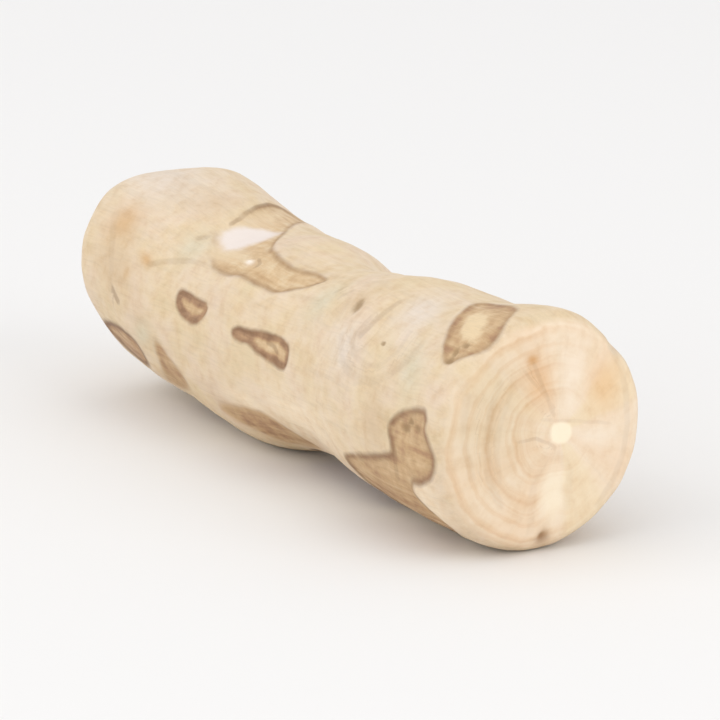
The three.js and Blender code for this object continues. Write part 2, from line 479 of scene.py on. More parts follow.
# %% Draw the lines on the sawn ends
NEAR_END_LINES = [
    {"points": [(-3.4, 41.4), (-1.1, 36.3), (1.8, 30)], "width": 0.5, "dark": 0.16},
    {"points": [(-5.8, 40.4), (-2.5, 36.5), (1.9, 31.3)], "width": 0.4, "dark": 0.12},
    {"points": [(-1, 29.4), (2.3, 28.6), (8, 27.6), (15.8, 25.8)], "width": 0.4, "dark": 0.08},
    {"points": [(-6.8, 25.6), (-2.5, 25.4), (0.3, 24.2), (2, 22.7)], "width": 0.4, "dark": 0.17},
    {"points": [(-19, 37), (-19.8, 31.5), (-19.3, 25.5), (-17.4, 19)], "width": 0.9, "dark": 0.08},
    {"points": [(-11.3, 38.6), (-13.7, 32.5), (-14.4, 25), (-13.4, 18), (-10.6, 12)], "width": 0.9, "dark": 0.1},
    {"points": [(-9, 36), (-11.4, 30), (-12, 24), (-10.9, 17)], "width": 0.7, "dark": 0.07},
    {"points": [(-3.1, 4.9), (-2.9, 15.1), (0.1, 20.8), (3.3, 21.2), (6, 17.2), (5.7, 9.3)], "width": 1.0, "dark": 0.05},
    {
        "points": [(16.1, 42.1), (18.7, 36.8), (20, 30.9), (20.4, 25.1), (19.6, 18.8), (17.3, 13.3), (13.4, 8.2)],
        "width": 0.8, "dark": 0.1,
    },
]
FAR_END_LINES = [
    {"points": [(-2.2, 29), (-3.8, 32), (-3.5, 35.5), (-5.6, 41)], "width": 0.5, "dark": 0.26},
    {"points": [(0.3, 26.2), (2.4, 23.4), (3.2, 19.8)], "width": 0.5, "dark": 0.16},
    {"points": [(-12.5, 33), (-13.6, 26), (-11.5, 18.5), (-6, 13.5)], "width": 0.6, "dark": 0.13},
    {"points": [(9.5, 36.5), (12, 29), (10.6, 21), (6.5, 15.8)], "width": 0.6, "dark": 0.11},
]
print(f"{len(NEAR_END_LINES) + len(FAR_END_LINES)} lines lie on the sawn ends")

# %% [markdown]
# A line is stored much like an outline: as the distance to it, measured in half widths. The number
# is less than nothing on one side of the line, so that it passes through zero exactly on the line,
# however coarse the mesh is. A second number says how dark the nearest line is.

# %% Measure the distance to every line
LINE_REACH = 6.0
LINE_TAPER = 1.0
END_FROM = 66.0
LINE_NUDGE = 1.0

line_distance = np.full(len(along), LINE_REACH)
line_dark = np.zeros(len(along))


def add_line(line, chosen, places, corners):
    """Stores a line at the chosen points of the mesh, wherever it is the nearest one."""
    distance, side, past_end = nearest_edge(places, corners)
    distance /= line["width"]
    closer = distance < np.abs(line_distance[chosen])
    index = np.flatnonzero(chosen)[closer]
    line_distance[index] = (distance * side)[closer]
    taper = smooth_step(past_end, LINE_TAPER, 0) * smooth_step(distance, LINE_REACH, LINE_REACH / 2)
    line_dark[index] = line["dark"] * taper[closer]


on_side = np.abs(rest_points[:, 0]) < cad_high.x / MM
for line in FRONT_LINES + HIDDEN_LINES:
    corners = np.array(line["points"], float)
    middle = corners[:, 1].mean()
    add_line(line, on_side, unroll(along, turn, middle) + LINE_NUDGE * nudge, unroll(*corners.T, middle))
for end, lines in ((1, NEAR_END_LINES), (-1, FAR_END_LINES)):
    on_end = end * rest_points[:, 0] > END_FROM
    for line in lines:
        add_line(line, on_end, rest_points[on_end, 1:] + LINE_NUDGE * nudge[on_end], np.array(line["points"], float))
print(f"{np.count_nonzero(line_dark > 0.05)} points lie on a line")

# %% [markdown]
# ## Soft marks
#
# Other marks have no edge at all: the zones where grain swirls round a knot, stains, the pale
# rubbed floor of a patch, a healed scar whose near-white colour is partly a painted highlight.
# Each is an oval in the flat picture of the side, slanted by so many degrees from the length of
# the stick. A tint is a colour that covers such ovals.

# %% Place the soft marks on the side
KNOTS = [
    {"along": 111.2, "turn": 38, "length": 2.2, "width": 1.7, "slant": 90},
    {"along": 127.8, "turn": 51, "length": 0.75, "width": 0.5, "slant": 0},
    {"along": 146, "turn": 84, "length": 1.6, "width": 1.0, "slant": 0},
    {"along": 147.7, "turn": 80, "length": 1.0, "width": 0.7, "slant": 0},
    {"along": 150.2, "turn": 82, "length": 1.5, "width": 0.8, "slant": 0},
    {"along": 151.2, "turn": 41, "length": 1.5, "width": 0.9, "slant": 60},
    {"along": 152.6, "turn": 36, "length": 1.2, "width": 0.7, "slant": 0},
    {"along": 152, "turn": 46.5, "length": 1.4, "width": 0.8, "slant": 0},
    {"along": 60, "turn": 192, "length": 1.9, "width": 1.3, "slant": 20},
    {"along": 52, "turn": 288, "length": 2.4, "width": 1.5, "slant": 70},
    {"along": 121, "turn": 232, "length": 2.0, "width": 1.4, "slant": -30},
]
SWIRLS = [
    {"along": 120, "turn": 46, "length": 18, "width": 9, "slant": -75},
    {"along": 60, "turn": 192, "length": 13, "width": 8, "slant": 20},
    {"along": 52, "turn": 288, "length": 13, "width": 9, "slant": 65},
    {"along": 121, "turn": 232, "length": 14, "width": 8, "slant": -30},
]
# A scar is a small raised bump, and its near-white colour is partly a painted highlight on the bump.
SCARS_WITH_HIGHLIGHT = [
    {"along": 63.5, "turn": 35.6, "length": 1.4, "width": 0.85, "slant": 0},
    {"along": 103, "turn": 294, "length": 1.2, "width": 1.0, "slant": 0},
]
BLEACHED = [
    {"along": 44, "turn": 17, "length": 6.0, "width": 11, "slant": 0},
    {"along": 53, "turn": 34, "length": 5.5, "width": 3.0, "slant": -15},
    {"along": 49, "turn": 38.5, "length": 5.5, "width": 1.8, "slant": 39},
    {"along": 62.6, "turn": 12.5, "length": 3.0, "width": 1.0, "slant": 45},
    {"along": 94, "turn": 280, "length": 5, "width": 5, "slant": 0},
]
PALE_HEARTS = [
    {"along": 148, "turn": 23, "length": 7.5, "width": 3.0, "slant": 38},
    {"along": 37, "turn": 175, "length": 3.0, "width": 2.0, "slant": 30},
    {"along": 21, "turn": 298, "length": 4.5, "width": 2.0, "slant": 40},
]
# The rubbed spots are smooth floors of patches, and their near-white colour is a painted highlight.
RUBBED_SPOTS_WITH_HIGHLIGHT = [
    [
        (44.7, 23), (47.5, 31), (52, 35), (55, 28), (56.2, 17), (56, 5), (54.6, -4), (50.6, 1),
        (47.2, 7), (45.4, 14),
    ],
    [(88, 283), (92, 277), (97, 281), (98, 290), (93, 296), (89, 291)],
]
TINTS = {
    "orange_stain": {
        "colour": "#d9b382",
        "places": [
            {"along": 19, "turn": 47, "length": 5.0, "width": 5.0, "slant": 50},
            {"along": 27.7, "turn": 71, "length": 1.3, "width": 1.3, "slant": 0},
            {"along": 33, "turn": 60, "length": 2.4, "width": 1.3, "slant": 20},
            {"along": 12, "turn": 250, "length": 6.0, "width": 5.0, "slant": 30},
            {"along": 146, "turn": 205, "length": 7.0, "width": 6.0, "slant": 0},
        ],
    },
    "tan_wash": {
        "colour": "#d9c09e",
        "places": [
            {"along": 22, "turn": 70, "length": 9.0, "width": 6.0, "slant": 20},
            {"along": 36, "turn": 97, "length": 4.0, "width": 4.0, "slant": 0},
            {"along": 34, "turn": 10, "length": 6.0, "width": 5.0, "slant": 0},
            {"along": 109, "turn": 36, "length": 6.0, "width": 3.0, "slant": -50},
            {"along": 133, "turn": 88, "length": 5.0, "width": 6.0, "slant": 0},
            # On the underside near the middle this tan is partly painted shade, where the wood lies close over the
            # floor.
            {"along": 72, "turn": 182, "length": 16.0, "width": 8.0, "slant": 0},
            {"along": 30, "turn": 275, "length": 12.0, "width": 6.0, "slant": 20},
        ],
    },
    "cream_wash": {
        "colour": "#f8e5c9",
        "places": [
            {"along": 98, "turn": 112, "length": 17.0, "width": 6.0, "slant": 0},
            {"along": 76, "turn": 118, "length": 8.0, "width": 3.0, "slant": 10},
            {"along": 150, "turn": 122, "length": 6.0, "width": 7.0, "slant": 0},
            {"along": 100, "turn": 240, "length": 16.0, "width": 6.0, "slant": 0},
            {"along": 60, "turn": 305, "length": 14.0, "width": 6.0, "slant": -10},
        ],
    },
    "grey_green": {
        "colour": "#dcd0b5",
        "places": [
            {"along": 35, "turn": 101, "length": 2.6, "width": 4.0, "slant": 60},
            {"along": 97, "turn": 41, "length": 4.0, "width": 5.0, "slant": 0},
            {"along": 142, "turn": 57, "length": 3.5, "width": 6.0, "slant": -40},
            {"along": 44, "turn": 42, "length": 4.0, "width": 5.0, "slant": 0},
            {"along": 76, "turn": 250, "length": 10.0, "width": 5.0, "slant": 10},
            {"along": 132, "turn": 290, "length": 9.0, "width": 6.0, "slant": 0},
        ],
    },
    "pink_grey": {
        "colour": "#e6d7c6",
        "places": [
            # On top of the far head this paler, greyer tint is partly a painted highlight, where the light falls.
            {"along": 15, "turn": 12, "length": 15.0, "width": 9.0, "slant": 0},
            {"along": 115, "turn": 60, "length": 5.0, "width": 7.0, "slant": -40},
            {"along": 130, "turn": 28, "length": 6.0, "width": 8.0, "slant": -40},
            {"along": 40, "turn": 210, "length": 12.0, "width": 7.0, "slant": 0},
            {"along": 112, "turn": 262, "length": 12.0, "width": 7.0, "slant": 10},
        ],
    },
}


def oval_distance(oval):
    """How far each point lies from the middle of a slanted oval, where 1 is its edge."""
    flat = unroll(along, turn, oval["turn"]) - (oval["along"], 0)
    slant = math.radians(oval["slant"])
    lengthwise = flat[:, 0] * math.cos(slant) + flat[:, 1] * math.sin(slant)
    sideways = flat[:, 1] * math.cos(slant) - flat[:, 0] * math.sin(slant)
    return np.hypot(lengthwise / oval["length"], sideways / oval["width"])


def soft_ovals(ovals):
    """How strongly each point belongs to soft-edged ovals, from 0 to 1."""
    return np.max([np.exp(-oval_distance(oval) ** 2) for oval in ovals], axis=0)


print(f"{sum(len(tint['places']) for tint in TINTS.values())} places are covered with a tint")

# %% [markdown]
# The sawn ends have soft marks as well: the squarish pith, a pale streak under it where a twig
# once left, a small orange knot, a yellower side, blushes of orange, and chips out of the rim,
# the lowest of which is painted darker as shade in its hollow.
# Apart from the pith, which has an outline, these are soft-edged eggs in space.

# %% Place the marks on the sawn ends
PITH_OUTLINES = {
    1: [(1.2, 27.9), (3.5, 28.1), (6.0, 27.3), (6.3, 25.0), (5.2, 23.4), (2.6, 23.5), (1.0, 24.6)],
    -1: [(-3.6, 28.9), (-1.4, 29.2), (0.2, 27.7), (0.0, 25.6), (-2.4, 24.9), (-4.1, 26.5)],
}
TWIG_TRACES = [
    {"at": (80, 2.0, 12.5), "size": (6, 3.4, 6.5)},
    {"at": (-80, 3.0, 38.0), "size": (8, 2.2, 4.5)},
]
FACE_KNOTS = [
    {"at": (80, -3.6, 42.3), "size": (4, 1.4, 1.2)},
    {"at": (-79, -9.0, 19.0), "size": (5, 1.5, 1.7)},
]
FACE_BLUSHES = [
    {"at": (80, 14, 34.5), "size": (6, 4.5, 6.0)},
    {"at": (80, -2.0, 37.0), "size": (6, 3.5, 4.5)},
    {"at": (-80, -6.0, 33.0), "size": (8, 5.0, 5.0)},
]
FACE_PALES = [
    {"at": (80, 6.3, 38.3), "size": (6, 3.2, 4.5)},
    {"at": (80, 5.5, 32.0), "size": (6, 2.6, 2.6)},
    {"at": (80, 12.5, 23.5), "size": (6, 5.5, 2.4)},
    {"at": (-80, 2.0, 17.0), "size": (8, 5.0, 3.5)},
]
FACE_YELLOWS = [
    {"at": (80, -14.0, 32.0), "size": (8, 11.0, 16.0)},
    {"at": (-80, 12.0, 30.0), "size": (8, 8.0, 12.0)},
]
NICKS = [
    {"at": (79.5, 0.4, 2.9), "size": (3.0, 1.3, 1.8), "push": (-1.2, 0, 0.6)},
    {"at": (79.2, -2.4, 2.4), "size": (2.5, 1.3, 1.1), "push": (-0.6, 0, 0.3)},
    {"at": (78.5, -20.5, 38.5), "size": (2.2, 2.2, 2.2), "push": (-0.5, 0.5, -0.3)},
    {"at": (77.5, 17.5, 41.0), "size": (2.0, 2.0, 2.0), "push": (-0.4, -0.5, -0.3)},
    {"at": (-76.5, -15.0, 39.0), "size": (2.4, 2.4, 2.4), "push": (0.6, 0.4, -0.4)},
    {"at": (-77.0, 16.0, 16.0), "size": (2.6, 2.6, 2.6), "push": (0.7, -0.5, 0.3)},
]
# The lowest nick, close to the floor, is painted darker: painted shade in its hollow.
NICKS_WITH_PAINTED_SHADE = NICKS[:1]


def soft_egg(egg):
    """How strongly each point belongs to a soft-edged egg in space, from 0 to 1."""
    distance = np.linalg.norm((rest_points - np.array(egg["at"])) / np.array(egg["size"]), axis=1)
    return np.exp(-distance**2)


def soft_eggs(eggs):
    """How strongly each point belongs to the nearest of several eggs."""
    return np.max([soft_egg(egg) for egg in eggs], axis=0)


pith_depth = np.full(len(along), FAR_OUTSIDE)
for end, outline in PITH_OUTLINES.items():
    on_end = end * rest_points[:, 0] > END_FROM
    pith_depth[on_end] = depth_inside(rest_points[on_end, 1:], cut_corners(outline))
print(f"{np.count_nonzero(pith_depth > 0)} points lie in the pith")

# %% [markdown]
# ## Growth layers
#
# A branch grows one thin layer over another, and stripping and tumbling cut through them at a
# slant. That draws faint lines on the side like the height lines of a map: long ones along the
# branch, and nested ovals where the layers wrapped round a knot. Each point gets the depth of the
# layer that it lies in, from its distance to the pith, some slow noise, and a hill at every swirl.

# %% Measure the layer at every point
PITH_NEAR = (80, 3.5, 25.7)
PITH_FAR = (-80, -2.0, 27.0)
RING_LOPSIDED = 0.18
LAYER_FOLLOW = 0.55
LAYER_WAVE = 2.2
LAYER_WAVE_SIZE = 10.0
LAYER_STRETCH = 0.4
SWIRL_HILL = 5.0

pith_share = (rest_points[:, 0] - PITH_FAR[0]) / (PITH_NEAR[0] - PITH_FAR[0])
pith_y = PITH_FAR[1] + (PITH_NEAR[1] - PITH_FAR[1]) * pith_share
pith_z = PITH_FAR[2] + (PITH_NEAR[2] - PITH_FAR[2]) * pith_share
out_of_pith = np.hypot(rest_points[:, 1] - pith_y, rest_points[:, 2] - pith_z)
wave = smooth_noise(rest_points * (LAYER_STRETCH, 1, 1), LAYER_WAVE_SIZE, start=3)[:, 0]
swirl = soft_ovals(SWIRLS)
layer = LAYER_FOLLOW * (out_of_pith + RING_LOPSIDED * rest_points[:, 1]) + LAYER_WAVE * wave + SWIRL_HILL * swirl
print(f"The side cuts through layers {layer.min():.1f} to {layer.max():.1f} mm deep")

# %% [markdown]
# ## Carving the skin
#
# Displace modifiers carve the skin as a soft rasp would. A texture with large, smooth clouds
# leaves the slow waves of hand stripping, and a finer one the small unevenness that tumbling
# leaves. Vertex groups hold the long peeling marks, the patches, the lines, the knots and the
# healed scars, so that a plain push inwards or outwards moves only those.

# %% Carve the waves, the patches and the knots
WAVES = [
    {"size": 13, "height": 0.5, "noise_depth": 1},
    {"size": 4.0, "height": 0.18, "noise_depth": 2},
]
PEEL_STRETCH = 0.14
PEEL_SIZE = 4.5
PEEL_HEIGHT = 0.3
PATCH_EDGE_SOFT = 0.35
PATCH_FLOOR_AT = 0.8
KNOT_SINK = 0.4
LINE_SINK = 0.25
SCAR_RISE = 0.35
GROOVE_SPACING = 2.4
GROOVE_SINK = 0.22


def push_points(piece, weights, distance):
    """Moves points out along their normals, or in where the distance is less than nothing."""
    group = piece.vertex_groups.new(name="push")
    for index in np.flatnonzero(weights > 0.01):
        group.add([int(index)], float(weights[index]), "REPLACE")
    apply_modifier(piece, "DISPLACE", strength=distance * MM, mid_level=0, vertex_group=group.name)
    piece.vertex_groups.clear()


for number, ripple in enumerate(WAVES):
    clouds = bpy.data.textures.new(f"rasp waves {number}", "CLOUDS")
    clouds.noise_scale = ripple["size"] * MM
    clouds.noise_depth = ripple["noise_depth"]
    apply_modifier(wood, "DISPLACE", texture=clouds, strength=ripple["height"] * MM, mid_level=0.5)
    bpy.data.textures.remove(clouds)

peeled = 0.5 + 0.5 * smooth_noise(rest_points * (PEEL_STRETCH, 1, 1), PEEL_SIZE, start=11)[:, 1]
knot_distance = np.min([oval_distance(knot) for knot in KNOTS], axis=0)
scar = soft_ovals(SCARS_WITH_HIGHLIGHT)
grooves = swirl * (0.5 + 0.5 * np.sin(2 * math.pi * layer / GROOVE_SPACING))
sunk_most = max(patch["sunk"] for patch in PATCHES.values())
patch_floor = smooth_step(patch_depth / patch_numbers["soft"], -PATCH_EDGE_SOFT, PATCH_FLOOR_AT)
push_points(wood, np.clip(peeled, 0, 1), -PEEL_HEIGHT)
push_points(wood, patch_floor * patch_numbers["sunk"] / sunk_most, -sunk_most)
push_points(wood, np.exp(-knot_distance**2), -KNOT_SINK)
push_points(wood, line_dark * np.exp(-line_distance**2), -LINE_SINK)
push_points(wood, grooves, -GROOVE_SINK)
push_points(wood, scar, SCAR_RISE)
print(f"The deepest patch floor lies {sunk_most} mm below the wood round it")

# %% [markdown]
# ## Nicks in the sawn rim, and the worn underside
#
# Each nick is a small dent pressed in from outside, a soft push on the points near its centre.
# Last, nothing may hang below the floor that the stick lies on.

# %% Press in the nicks and flatten the underside
carved = read_vectors(wood.data.vertices, "co") / MM
for nick in NICKS:
    carved += soft_egg(nick)[:, None] * np.array(nick["push"])
carved[:, 2] = np.maximum(carved[:, 2], 0)
wood.data.vertices.foreach_set("co", (carved * MM).ravel())
wood.data.update()
select_only(wood)
bpy.ops.object.shade_smooth()
print(f"The carved stick is {np.ptp(carved[:, 0]):.1f} mm long and {np.ptp(carved[:, 2]):.1f} mm high")

# %% [markdown]
# ## Numbers for the material
#
# The material needs to know, at every point, what the carving knew: how deep inside a patch it is,
# which tone the patch has, and how near a line, a knot or a tint. A mesh carries such numbers as
# named attributes. One more tells the sawn ends from the side, from how squarely the surface faces
# along the stick.

# %% Store the numbers on the mesh
END_GRAIN_FROM = 0.4
END_GRAIN_FULL = 0.9
SHINE_EDGE = (-2.0, 2.4)

facing = read_vectors(wood.data.vertices, "normal")
wood_numbers = {
    "patch_depth": patch_depth,
    **{f"patch_{name}": patch_numbers[name] for name in ("tone", "edge_tone", "band", "line", "soft")},
    "line_distance": line_distance,
    "line_dark": line_dark,
    "knot_distance": knot_distance,
    "swirl": swirl,
    "scar": scar,
    "bleached": soft_ovals(BLEACHED),
    "pale_heart": soft_ovals(PALE_HEARTS),
    "shine": smooth_step(np.max([depth_on_side(spot) for spot in RUBBED_SPOTS_WITH_HIGHLIGHT], axis=0), *SHINE_EDGE),
    **{name: soft_ovals(tint["places"]) for name, tint in TINTS.items()},
    "pith_depth": pith_depth,
    "twig_trace": soft_eggs(TWIG_TRACES),
    "face_knot": soft_eggs(FACE_KNOTS),
    "face_blush": soft_eggs(FACE_BLUSHES),
    "face_yellow": soft_eggs(FACE_YELLOWS),
    "face_pale": soft_eggs(FACE_PALES),
    "nick": soft_eggs(NICKS_WITH_PAINTED_SHADE),
    "layer": layer,
    "end_grain": smooth_step(np.abs(facing[:, 0]), END_GRAIN_FROM, END_GRAIN_FULL),
}
for name, numbers in wood_numbers.items():
    attribute = wood.data.attributes.new(name, "FLOAT", "POINT")
    attribute.data.foreach_set("value", numbers.astype(np.float32))
print(f"{len(wood_numbers)} numbers are stored for each of {len(along)} points")

# %% [markdown]
# ## Building a material from nodes
#
# A node material is a small machine: each node takes numbers or colours in and hands a result on.
# One helper adds a node with its inputs and settings, so that every step of the machine below is
# one readable call. Colours are written as the hex values that a colour picker shows, and one
# function turns them into the linear values that Blender calculates with.

# %% Write the helpers of every material
def linear(hex_colour):
    """The linear colour of an sRGB hex value such as "#e6d1b1"."""
    channels = [int(hex_colour[i : i + 2], 16) / 255 for i in (1, 3, 5)]
    bent = [c / 12.92 if c <= 0.04045 else ((c + 0.055) / 1.055) ** 2.4 for c in channels]
    return (*bent, 1.0)


def add_node(kind, inputs=(), settings=None, stops=None, result=0):
    """Adds a node to the wood and gives back one of its outputs. Its inputs go by name or in
    order, and each is another node's output, a fixed value or a hex colour. settings are the
    node's own choices, and stops are the places of a ramp, each with a hex colour or a grey."""
    made = tree.nodes.new("ShaderNode" + kind)
    for name, value in (settings or {}).items():
        setattr(made, name, value)
    for name, value in inputs.items() if isinstance(inputs, dict) else enumerate(inputs):
        if isinstance(value, bpy.types.NodeSocket):
            tree.links.new(value, made.inputs[name])
        else:
            made.inputs[name].default_value = linear(value) if isinstance(value, str) else value
    if stops:
        elements = made.color_ramp.elements
        while len(elements) < len(stops):
            elements.new(1.0)
        for element, (position, colour) in zip(elements, stops):
            element.position = position
            element.color = linear(colour) if isinstance(colour, str) else (colour,) * 3 + (1.0,)
    return made.outputs[result] if made.outputs else made


def per_feature(size):
    """The scale that makes a pattern's features about this many millimetres large."""
    return 1 / (size * MM)


print("The palest wood colour in linear values is", [round(c, 3) for c in linear("#f6e4c8")[:3]])

# %% [markdown]
# Some settings come up again and again, so they get plain names. A sum is the first input times
# the second, plus the third. A wash tints the colour under it as thin paint does, and a cover hides
# it as thick paint does. Both are made by a mix node, which has inputs for numbers, for vectors and
# for colours, so those for colours are called by their place in its list.

# %% Name the settings that are used most
SUM = {"operation": "MULTIPLY_ADD"}
DIFFERENCE = {"operation": "SUBTRACT"}
PRODUCT = {"operation": "MULTIPLY", "use_clamp": True}
SMOOTH = {"interpolation_type": "SMOOTHSTEP"}
WASH = {"data_type": "RGBA", "blend_type": "MULTIPLY"}
COVER = {"data_type": "RGBA"}
SHARE, UNDER, OVER = 0, 6, 7
MIXED = 2

# %% [markdown]
# ## Tumbled coffee wood
#
# Bare coffee wood is a dense, fine-grained hardwood. Tumbling leaves it smooth but dull: with no
# varnish, light sinks in and scatters, so highlights are broad and weak. The eye reads it as wood
# from patterns on several scales, and each gets its own step below: the slow drift of colour along
# the branch, fine streaks of fibre, the growth rings round an off-centre pith, and then the marks.
#
# First come the places that the patterns use. Wood fibre never runs quite straight, so the
# coordinates are bent by slow noise before anything is drawn on them. Stretching them by a small
# number along X then draws every blot out into a streak along the branch.

# %% Start the wood material and bend its coordinates
BENDS = {
    "fibres": {"size": 22, "reach": 3.0, "detail": 2.0, "roughness": 0.6},
    "rings": {"size": 9, "reach": 3.2, "detail": 3.0, "roughness": 0.55},
}
FIBRE_STRETCH = 0.06

wood_material = bpy.data.materials.new("tumbled coffee wood")
wood_material.use_nodes = True
tree = wood_material.node_tree
tree.nodes.clear()

mark = {}
for name in wood_numbers:
    mark[name] = add_node("Attribute", settings={"attribute_name": name}, result="Fac")
place = add_node("TexCoord", result="Object")
bent_place = {}
for name, bend in BENDS.items():
    inputs = {
        "Vector": place,
        "Scale": per_feature(bend["size"]),
        "Detail": bend["detail"],
        "Roughness": bend["roughness"],
    }
    push = add_node("TexNoise", inputs, result="Color")
    centred = add_node("VectorMath", (push, (0.5,) * 3), DIFFERENCE)
    bent_place[name] = add_node("VectorMath", (centred, (bend["reach"] * MM,) * 3, place), SUM)
fibre_place = add_node("Mapping", {"Vector": bent_place["fibres"], "Scale": (FIBRE_STRETCH, 1, 1)})
print(f"The material starts with {len(tree.nodes)} nodes")

# %% [markdown]
# ### Clouds of several sizes
#
# Cloudy noise is where most patterns of natural wood start. Each cloud below is given the places
# that it is drawn on, the size of its features in millimetres, how many finer layers it has and
# how strong those are. Real fibres of this wood are far finer than a picture can show, so they are
# drawn as coarse as they need to be seen.

# %% Draw the clouds
FIBRE_SIZE = 0.45
CLOUDS = {
    "drift": (bent_place["fibres"], 11, 4.0, 0.6),
    "mottle": (bent_place["fibres"], 3.2, 3.0, 0.6),
    "wobble": (bent_place["fibres"], 2.5, 3.0, 0.6),
    "ragged": (bent_place["fibres"], 2.0, 3.0, 0.6),
    "breaks": (place, 5, 2.0, 0.6),
    "streaks": (fibre_place, 2.2, 4.0, 0.6),
    "fibres": (fibre_place, FIBRE_SIZE, 3.0, 0.7),
}

cloud = {}
for name, (coordinates, size, detail, roughness) in CLOUDS.items():
    inputs = {"Vector": coordinates, "Scale": per_feature(size), "Detail": detail, "Roughness": roughness}
    cloud[name] = add_node("TexNoise", inputs)
print(f"Fibres are drawn {FIBRE_SIZE} mm wide and {FIBRE_SIZE / FIBRE_STRETCH:.0f} mm long")

# %% [markdown]
# ### The side of the branch
#
# Stripping the bark lays bare the outermost wood: cream, with slow patches of yellow, grey and
# pink. The slow drift gives the cream, and the listed tints cover parts of it.
# Over both run fibres a fraction of a millimetre wide and centimetres long.

# %% Colour the side
side_colour = add_node("ValToRGB", (cloud["drift"],), stops=(
    (0.3, "#e0cba6"), (0.42, "#e4ceab"), (0.52, "#e5d0b2"), (0.62, "#e5cfb4"), (0.74, "#e0c9af"),
))
for name, tint in TINTS.items():
    inputs = {SHARE: mark[name], UNDER: side_colour, OVER: tint["colour"]}
    side_colour = add_node("Mix", inputs, COVER, result=MIXED)
mottle_shade = add_node("ValToRGB", (cloud["mottle"],), stops=(
    (0.32, "#f0e5d5"), (0.46, "#faf6ef"), (0.6, "#ffffff"),
))
streak_shade = add_node("ValToRGB", (cloud["streaks"],), stops=((0.3, 0.84), (0.48, 0.97), (0.6, 1.0)))
fibre_shade = add_node("ValToRGB", (cloud["fibres"],), stops=((0.3, 0.84), (0.55, 1.0)))
for shade, share in ((mottle_shade, 0.6), (streak_shade, 0.45), (fibre_shade, 0.4)):
    side_colour = add_node("Mix", {SHARE: share, UNDER: side_colour, OVER: shade}, WASH, result=MIXED)
print(f"{len(TINTS)} tints and three shades lie on the side")

# %% [markdown]
# ### Height lines of the growth layers
#
# The stored layer, read through one-dimensional noise, gives lines of uneven strength, as seasons
# are. Over most of the side they barely show. In the swirls they are a little plainer.

# %% Draw the layer lines
LAYER_SPACING = 1.4
WOBBLE = 0.6
LINES_ON_SIDE = 0.08
LINES_IN_SWIRL = 0.2

wobbly_layer = add_node("Math", (cloud["wobble"], WOBBLE, mark["layer"]), SUM)
inputs = {"W": wobbly_layer, "Scale": 1 / LAYER_SPACING, "Detail": 3.0, "Roughness": 0.65}
layer_lines = add_node("TexNoise", inputs, {"noise_dimensions": "1D"})
layer_shade = add_node("ValToRGB", (layer_lines,), stops=(
    (0.3, "#cdbba6"), (0.42, "#e8ddcf"), (0.52, "#ffffff"),
))
layer_share = add_node("MapRange", (mark["swirl"], 0.0, 1.0, LINES_ON_SIDE, LINES_IN_SWIRL), SMOOTH)
inputs = {SHARE: layer_share, UNDER: side_colour, OVER: layer_shade}
side_colour = add_node("Mix", inputs, WASH, result=MIXED)
print(f"Layer lines lie about {LAYER_SPACING} mm of depth apart")

# %% [markdown]
# ### Growth rings on the sawn ends
#
# A saw cuts the layers square across, so an end shows them as rings round the pith. A leaning
# branch grows them wider on one side, which a share of the sideways distance gives. They are bent
# by noise, and bulge round the trace of the twig, because no branch is a target drawn with
# compasses.

# %% Measure the rings
RING_SIZE = 2.6
TWIG_BULGE = 3.0 * MM

slope = (Vector(PITH_NEAR) - Vector(PITH_FAR)) / (PITH_NEAR[0] - PITH_FAR[0])
pith_middle = (Vector(PITH_NEAR) + Vector(PITH_FAR)) / 2 * MM
axes = add_node("SeparateXYZ", (bent_place["rings"],)).node
across = {}
for number, axis in ((1, "Y"), (2, "Z")):
    to_pith = add_node("Math", (axes.outputs["X"], -slope[number], -pith_middle[number]), SUM)
    across[axis] = add_node("Math", (axes.outputs[axis], to_pith))
from_pith = add_node("CombineXYZ", across)
pith_distance = add_node("VectorMath", (from_pith,), {"operation": "LENGTH"}, result="Value")
lopsided = add_node("Math", (across["Y"], RING_LOPSIDED, pith_distance), SUM)
bulging = add_node("Math", (mark["twig_trace"], TWIG_BULGE, lopsided), SUM)
inputs = {"W": bulging, "Scale": per_feature(RING_SIZE), "Detail": 3.0, "Roughness": 0.55}
rings = add_node("TexNoise", inputs, {"noise_dimensions": "1D"})
print(f"The pith moves {PITH_NEAR[1] - PITH_FAR[1]:.1f} mm sideways from end to end")

# %% [markdown]
# Rays of paler tissue run out from the pith. Noise read on the direction from the pith alone gives
# wide tinted sectors at a low scale and fine rays at a high one. The rings are plainer on the side
# where they lie closer together. The washes come first, then the covers: the pale trace of the
# twig, the pith and the small orange knot.

# %% Colour the sawn ends
SECTOR_SCALE = 1.1
RAY_SCALE = 13.0
RINGS_SHOWN = (0.1, 0.6)
RINGS_FADE = (12 * MM, -12 * MM)

ray_direction = add_node("VectorMath", (from_pith,), {"operation": "NORMALIZE"})
sectors, rays = (
    add_node("TexNoise", {"Vector": ray_direction, "Scale": scale, "Detail": detail})
    for scale, detail in ((SECTOR_SCALE, 2.0), (RAY_SCALE, 4.0))
)
end_colour = add_node("ValToRGB", (sectors,), stops=((0.36, "#f1d9bc"), (0.48, "#f3dfc5"), (0.6, "#f2debe")))
ring_shade = add_node("ValToRGB", (rings,), stops=((0.3, "#ecd7bf"), (0.42, "#f6ebdd"), (0.56, "#ffffff")))
ray_shade = add_node("ValToRGB", (rays,), stops=((0.35, 0.96), (0.55, 1.0)))
ring_share = add_node("MapRange", (across["Y"], *RINGS_FADE, *RINGS_SHOWN), SMOOTH)
pale_share = add_node("MapRange", (mark["face_pale"], 0.0, 1.0, 0.0, 0.5))
trace_share = add_node("MapRange", (mark["twig_trace"], 0.1, 0.9, 0.0, 0.7), SMOOTH)
pith_share = add_node("MapRange", (mark["pith_depth"], -0.5, 0.5, 0.0, 0.85), SMOOTH)
